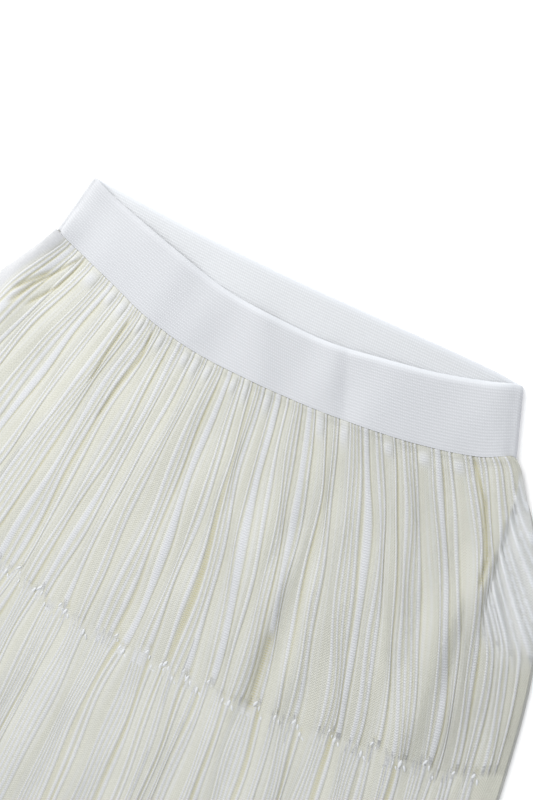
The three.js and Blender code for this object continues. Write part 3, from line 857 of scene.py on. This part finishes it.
def make_front():
    upper, lower = upper_ribs(), lower_ribs()
    columns = [
        rib_columns(*upper, RIB_SHARES, WIDE_SHARES, UPPER_RECESS_STEP),
        rib_columns(*lower, LOWER_SHARES, LOWER_SHARES, LOWER_RECESS_STEP),
    ]
    every = [steps(UPPER_ROWS), steps(LOWER_ROWS)]
    # One surface is worked out down all rows, so that both stretches follow the same lines.
    all_downs = np.concatenate(every)
    outers, knits, masks, painted_light_and_shade = [], [], [], []
    for chart, downs in zip(columns, every):
        x, y, low = front_surface(chart, all_downs)
        chosen = np.searchsorted(all_downs, downs)
        x, y, low = x[chosen], y[chosen], low[chosen]
        relief, crest, deep, local, gap, tone = front_relief(chart, downs, x, y)
        points = triples(x, y, low + FRONT_WALL + relief)
        outers.append({"points": points, "columns": chart, "rows": downs})
        knits.append(triples(chart[None, :], downs[:, None], local))
        masks.append(triples(crest, deep, gap))
        painted_light_and_shade.append(tone)
    plain = np.linspace(CHART_LEFT, CHART_RIGHT, PLAIN_FRONT_COLUMNS)
    plain_downs = steps(PLAIN_ROWS)
    px, py, plow = front_surface(plain, plain_downs)
    inner = {"points": triples(px, py, plow), "columns": plain, "rows": plain_downs}
    knits.append(triples(plain[None, :], plain_downs[:, None], 0 * px))
    masks.append(triples(PLAIN_FRONT_CREST + 0 * px, 0, 0))
    painted_light_and_shade.append(triples(0 * px, 0, 0))
    attributes = {"knit": knits, "masks": masks, "painted_light_and_shade": painted_light_and_shade}
    return build_wall("skirt_front_knit", outers, inner, False, attributes)


def back_places(chart, downs):
    x, y = knit_lines(chart, downs, "back")
    share = (chart - CHART_LEFT) / (CHART_RIGHT - CHART_LEFT)
    peek = BACK_PEEK * smooth(0, BACK_PEEK_DEPTH, downs)[:, None]
    return x + peek * (2 * share - 1)[None, :], y


def make_back():
    """The back panel: its ribs show as shallow grooves in the underside, which stays flat."""
    ribs, recesses = upper_ribs()
    chart = rib_columns(ribs, recesses, BACK_SHARES, BACK_SHARES, BACK_RECESS_STEP)
    downs = steps(BACK_ROWS)
    x, y = back_places(chart, downs)
    relief, crest, deep, local, gap = knit_relief(chart, downs, ribs, recesses, RIB_RISE, RIB_GAP)
    groove = BACK_GROOVE * (1 - np.clip(relief / (BACK_GROOVE_SHARE * RIB_RISE), 0, 1))
    under = {"points": triples(x, y, groove), "columns": chart, "rows": downs}
    plain = np.linspace(CHART_LEFT, CHART_RIGHT, PLAIN_BACK_COLUMNS)
    plain_downs = steps(PLAIN_ROWS)
    px, py = back_places(plain, plain_downs)
    top = {"points": triples(px, py, BACK_WALL + 0 * px), "columns": plain, "rows": plain_downs}
    knits = [
        triples(plain[None, :], plain_downs[:, None], 0 * px),
        triples(chart[None, :], downs[:, None], local),
    ]
    masks = [triples(PLAIN_BACK_CREST + 0 * px, 0, 0), triples(crest, deep, gap)]
    return build_wall("skirt_back_knit", [top], under, False, {"knit": knits, "masks": masks})


def band_ring(drop, wall):
    """One ring of the band at a share of its height below the top edge, front layer first."""
    half_width = BAND_TOP_HALF + (BAND_LOW_HALF - BAND_TOP_HALF) * drop
    middle = BAND_TOP_MIDDLE * (1 - drop)
    straight = half_width - BAND_END_RADIUS
    along = np.linspace(-1, 1, BAND_COLUMNS + 1)
    turns = np.pi * np.arange(1, BAND_END_STEPS) / BAND_END_STEPS

    def level(at, layer):
        top = edge_line(at, layer, 0)
        return top + (edge_line(at, layer, 1) - top) * drop

    x = middle + along * straight
    front_y = level(along, "front")
    inside = 1 - smooth(BAND_CROWN_FROM, 1, np.abs(along))
    crown = BAND_CROWN * np.sin(np.pi * drop) + BAND_RIM * bell(drop, BAND_RIM_SHARE)
    fade = 1 - smooth(BAND_END_FADE, 1, np.abs(along))
    folds = fold_height(x, front_y) * fade + crown * inside
    roll = BAND_ROLL * bell(drop, BAND_ROLL_SHARE)
    roll = roll * (1 - smooth(BAND_ROLL_FROM, 1, np.abs(along)))
    drop_down = BAND_END_DROP * smooth(BAND_END_FROM, 1, np.abs(along))
    front_z = BAND_FRONT_REST + folds - roll - drop_down
    front_z = np.maximum(front_z + wall, BAND_WALL + BAND_CLEAR)
    front = triples(x, front_y, front_z)
    back = triples(x, level(along, "back"), BAND_WALL / 2 - wall)[::-1]
    top = BAND_FRONT_REST - BAND_END_DROP
    centre = (top + BAND_WALL / 2) / 2
    radius = (BAND_FRONT_REST - BAND_WALL / 2) / 2 + wall
    tall = (top - BAND_WALL / 2) / 2 + wall
    ends = []
    for side in (1, -1):
        end_x = middle + side * (straight + radius * np.sin(turns))
        ends.append(triples(end_x, level(side, "front"), centre + side * tall * np.cos(turns)))
    return np.vstack([front, ends[0], back, ends[1]])


def make_band():
    inside = np.linspace(BAND_ROUND, 1 - BAND_ROUND, BAND_ROWS)
    curl = BAND_ROUND * (1 - np.cos(np.linspace(0, np.pi / 2, BAND_ROUND_ROWS)))[:-1]
    drops = np.concatenate([curl, inside, (1 - curl)[::-1]])
    edge = np.minimum(drops, 1 - drops) / BAND_ROUND
    round_off = np.sqrt(1 - (1 - np.clip(edge, 0, 1)) ** 2)
    thin = np.where(drops < 0.5, BAND_EDGE_SHOWN, BAND_SEAM_EDGE)
    half = (thin + (BAND_WALL - thin) * round_off) / 2
    outer = np.array([band_ring(drop, w) for drop, w in zip(drops, half)])
    inner = np.array([band_ring(drop, -w) for drop, w in zip(drops, half)])
    lengths = np.linalg.norm(np.diff(outer, axis=1), axis=2)
    along = np.hstack([np.zeros((len(drops), 1)), np.cumsum(lengths, axis=1)])
    knit = triples(along, drops[:, None] * BAND_HEIGHT, 0)
    rolled = bell(drops[:, None], BAND_RIM_SHARE)
    behind = outer[:, :, 2] < BAND_WALL
    # painted highlight along the rolled top edges
    rim_highlight = rolled * np.where(behind, 1, smooth(*BAND_RIM_HIGHLIGHT_SPAN, outer[:, :, 0]))
    reach = np.abs(outer[:, :, 0]) / np.abs(outer[:, :, 0]).max(axis=1, keepdims=True)
    turned = np.maximum(smooth(*BAND_TURNED, reach), rolled)
    # first value marks the inside, painted lighter; the second the rim's painted highlight
    masks = [triples(0, rim_highlight, turned), triples(1, rim_highlight, turned)]
    columns = np.arange(outer.shape[1] + 1)
    grids = [{"points": points, "columns": columns, "rows": drops} for points in (outer, inner)]
    attributes = {"knit": [knit, knit], "masks": masks}
    return build_wall("waistband_knit", grids[:1], grids[1], True, attributes)


def make_change_loops():
    """Small raised stitches where the lower ribs begin."""
    points, faces = [], []
    for n, rib in enumerate(r for r in lower_ribs()[0] if r["last"]):
        begin = change_start(rib["group"])
        chart = np.array([rib["high"] - LOOP_ASIDE])
        downs = np.append(np.linspace(0, begin, LOOP_STEPS), begin + LOOP_AHEAD)
        x, y, low = front_surface(chart, downs)
        start = Vector((x[-2, 0], y[-2, 0], low[-2, 0] + FRONT_WALL + LOOP_LIFT))
        way = Vector((x[-1, 0] - x[-2, 0], y[-1, 0] - y[-2, 0], 0)).normalized()
        for further, across, turn, size in LOOPS:
            place = start + way * further + Vector((-way.y, way.x, 0)) * across
            bend = Matrix.Rotation(turn + varied("loop turn", 0, n), 3, "Z")
            add_loop(points, faces, place, bend @ way, size * varied("loop size", 0, n))
    mesh = bpy.data.meshes.new("change_stitches")
    mesh.from_pydata(points, [], faces)
    return as_piece("change_stitches", mesh)


def add_loop(points, faces, start, way, size):
    """One small rounded stitch that lies along way, added to the lists of points and faces."""
    aside = Vector((-way.y, way.x, 0))
    first = len(points)
    for i in range(LOOP_RINGS + 1):
        t = i / LOOP_RINGS
        swell = np.sin(np.pi * min(t * (1 + LOOP_BLUNT) + LOOP_BLUNT, 1)) ** LOOP_BLUNT_POWER
        swell *= 1 - LOOP_TAPER * t
        radius = LOOP_RADIUS * size * swell
        for j in range(LOOP_SIDES):
            turn = 2 * np.pi * j / LOOP_SIDES
            up = LOOP_FLAT * radius * np.sin(turn) - LOOP_DIP * t
            place = start + way * (LOOP_LENGTH * size * t) + aside * (radius * np.cos(turn))
            points.append((place + Vector((0, 0, up))) * MM)
    for i in range(LOOP_RINGS):
        for j in range(LOOP_SIDES):
            a = first + i * LOOP_SIDES + j
            b = first + i * LOOP_SIDES + (j + 1) % LOOP_SIDES
            faces.append((a, b, b + LOOP_SIDES, a + LOOP_SIDES))
    faces.append([first + j for j in range(LOOP_SIDES)][::-1])
    faces.append([first + LOOP_RINGS * LOOP_SIDES + j for j in range(LOOP_SIDES)])


class Nodes:
    """A small helper that adds shader nodes and joins them."""

    def __init__(self, name):
        self.material = bpy.data.materials.new(name)
        self.material.use_nodes = True
        self.tree = self.material.node_tree
        self.shader = self.tree.nodes["Principled BSDF"]

    def add(self, kind, **settings):
        node = self.tree.nodes.new(kind)
        for key, value in settings.items():
            setattr(node, key, value)
        return node

    def put(self, socket, value):
        if isinstance(value, bpy.types.NodeSocket):
            self.tree.links.new(value, socket)
        else:
            socket.default_value = value

    def fill(self, node, **values):
        for name, value in values.items():
            self.put(node.inputs[name], value)
        return node

    def math(self, operation, *values):
        node = self.add("ShaderNodeMath", operation=operation)
        for socket, value in zip(node.inputs, values):
            self.put(socket, value)
        return node.outputs[0]

    def mix(self, share, a, b, blend="MIX"):
        node = self.add("ShaderNodeMix", data_type="RGBA", blend_type=blend)
        return self.fill(node, Factor=share, A=a, B=b).outputs["Result"]

    def vector_parts(self, name):
        attribute = self.add("ShaderNodeAttribute", attribute_name=name)
        parts = self.add("ShaderNodeSeparateXYZ")
        return self.fill(parts, Vector=attribute.outputs["Vector"]).outputs

    def times(self, first, *others):
        for other in others:
            first = self.math("MULTIPLY", first, other)
        return first

    def linear(self, value, size, middle):
        return self.math("ADD", self.times(value, size), middle)

    def noise(self, scale, detail, size):
        place = self.add("ShaderNodeTexCoord").outputs["Object"]
        node = self.add("ShaderNodeTexNoise")
        self.fill(node, Vector=place, Scale=scale, Detail=detail)
        return self.times(node.outputs["Fac"], size)

    def mottled(self, scale, detail, size):
        """Noise around 1."""
        return self.math("ADD", self.noise(scale, detail, size), 1 - size / 2)

    def wave(self, cycles):
        return self.math("SINE", self.times(cycles, 2 * np.pi))

    def scaled(self, colour, share):
        grey = self.fill(self.add("ShaderNodeCombineColor"), Red=share, Green=share, Blue=share)
        return self.mix(1.0, colour, grey.outputs[0], "MULTIPLY")

    def bump(self, height, distance):
        node = self.fill(self.add("ShaderNodeBump"), Strength=1.0, Distance=distance, Height=height)
        self.fill(self.shader, Normal=node.outputs[0])

    def finished(self, colour, surface):
        self.fill(self.shader, **{"Base Color": colour, **surface})
        return self.material


def skirt_material():
    n = Nodes("skirt_knit")
    across, down, local = n.vector_parts("knit")
    crest, deep, gap = n.vector_parts("masks")
    strip, side, far = n.vector_parts("painted_light_and_shade")
    course = n.math("DIVIDE", down, COURSE)
    dots = n.linear(n.wave(course), *DOTS)
    colour = n.mix(crest, RECESS_COLOUR, CREST_COLOUR)
    # gaps and deep grooves: the yarn's darker tint with painted shade
    colour = n.mix(n.times(gap, dots), colour, GAP_TINT_AND_SHADE_COLOUR)
    colour = n.mix(n.times(deep, n.math("ADD", dots, DEEP_DOTS)), colour, DEEP_TINT_AND_SHADE_COLOUR)
    # painted shade on the strip at the left side
    colour = n.mix(strip, colour, LEFT_PAINTED_SHADE_COLOUR)
    # painted light on the ribs beyond the lip
    colour = n.mix(n.times(side, crest), colour, SIDE_PAINTED_LIGHT_COLOUR)
    sway = n.times(n.wave(n.math("DIVIDE", across, WALE)), PURL_SWAY)
    purl = n.wave(n.math("ADD", course, sway))
    flank = n.math("ABSOLUTE", n.math("SUBTRACT", n.math("FRACT", local), 0.5))
    plain = n.wave(n.math("SUBTRACT", course, n.times(flank, PLAIN_SLANT)))
    plain = n.times(plain, n.linear(side, -PLAIN_SIDE, 1))
    stitch = n.math("ADD", purl, n.times(n.math("SUBTRACT", plain, purl), crest))
    upper = n.linear(n.math("LESS_THAN", down, CHANGE_DEPTH), 1 - LOWER_SEEN, LOWER_SEEN)
    stitch = n.times(stitch, n.linear(across, *SEEN), upper)
    # painted shade towards the lower right
    shade = n.times(n.linear(stitch, *SKIRT_SHADE), n.linear(far, -FAR_PAINTED_SHADE, 1))
    shade = n.times(shade, n.mottled(*SKIRT_CLOUD), n.mottled(*SKIRT_FUZZ))
    n.bump(n.math("ADD", n.times(stitch, STITCH_BUMP), n.noise(*SKIRT_ROUGH)), SKIRT_BUMP)
    return n.finished(n.scaled(colour, shade), CLOTH_SURFACE)


def band_material():
    n = Nodes("band_knit")
    along, down, _ = n.vector_parts("knit")
    inside, rim_highlight, turned = n.vector_parts("masks")
    # painted light on the inside of the band
    colour = n.mix(inside, BAND_COLOUR, BAND_INSIDE_PAINTED_LIGHT_COLOUR)
    # painted highlight along the rim
    colour = n.mix(rim_highlight, colour, BAND_RIM_HIGHLIGHT_COLOUR)
    course = n.wave(n.math("DIVIDE", down, BAND_COURSE))
    bead = n.times(n.wave(n.math("DIVIDE", along, WALE)), n.linear(course, *BAND_BEAD))
    bead = n.times(bead, BAND_BEAD_SHARE)
    stitch = n.math("ADD", n.times(course, BAND_COURSE_SHARE), bead)
    stitch = n.times(stitch, n.linear(turned, -BAND_TURNED_FADE, 1))
    shade = n.times(n.linear(stitch, *BAND_SHADE), n.mottled(*BAND_CLOUD))
    shade = n.times(shade, n.mottled(*BAND_FUZZ))
    n.bump(n.math("ADD", n.times(stitch, STITCH_BUMP), n.noise(*BAND_ROUGH)), BAND_BUMP)
    return n.finished(n.scaled(colour, shade), CLOTH_SURFACE)


def loop_material():
    n = Nodes("loop_yarn")
    n.bump(n.noise(*LOOP_ROUGH), BAND_BUMP)
    return n.finished(n.scaled(LOOP_COLOUR, n.mottled(*LOOP_FUZZ)), CLOTH_SURFACE)


def floor_material():
    n = Nodes("white_surface")
    speck = n.math("ADD", n.noise(*FLOOR_SPECK), 1 - FLOOR_SPECK[2])
    return n.finished(n.scaled(FLOOR_COLOUR, speck), FLOOR_SURFACE)


def make_camera():
    forward = Vector(CAMERA_FORWARD).normalized()
    up = Vector(CAMERA_UP).normalized()
    right = forward.cross(up)
    turn = Matrix((right, right.cross(forward), -forward)).transposed().to_4x4()
    data = bpy.data.cameras.new("camera")
    data.lens = LENS
    data.sensor_fit = "VERTICAL"
    data.sensor_height = SENSOR
    data.clip_start = CLIP_START
    camera = new_object("camera", data)
    camera.matrix_world = Matrix.Translation(Vector(CAMERA_PLACE) * MM) @ turn
    bpy.context.scene.camera = camera


def make_light(name, place, target, size, power, colour):
    data = bpy.data.lights.new(name, "AREA")
    data.shape = "DISK"
    data.size = size
    data.energy = power
    data.color = colour
    light = new_object(name, data)
    light.location = place
    light.rotation_euler = (Vector(target) - Vector(place)).to_track_quat("-Z", "Y").to_euler()


def make_floor():
    mesh = bpy.data.meshes.new("floor")
    square = [(-1, -1), (1, -1), (1, 1), (-1, 1)]
    corners = [(FLOOR_HALF * x, FLOOR_HALF * y, FLOOR_LEVEL) for x, y in square]
    mesh.from_pydata(corners, [], [(0, 1, 2, 3)])
    mesh.materials.append(floor_material())
    new_object("floor", mesh)


def make_world():
    world = bpy.data.worlds.new("studio")
    world.use_nodes = True
    background = world.node_tree.nodes["Background"]
    background.inputs["Color"].default_value = WORLD_COLOUR
    background.inputs["Strength"].default_value = WORLD_STRENGTH
    bpy.context.scene.world = world
    bpy.context.scene.view_settings.view_transform = "Standard"


make_camera()
make_world()
make_floor()
for light in LIGHTS:
    make_light(*light)

skirt_knit = skirt_material()
band = make_band()
band.data.materials.append(band_material())
front = make_front()
front.data.materials.append(skirt_knit)
back = make_back()
back.data.materials.append(skirt_knit)
loops = make_change_loops()
loops.data.materials.append(loop_material())

for piece in (band, front, back, loops):
    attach(piece, "root")
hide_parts("waistband")
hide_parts("skirt_front")
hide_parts("skirt_back")
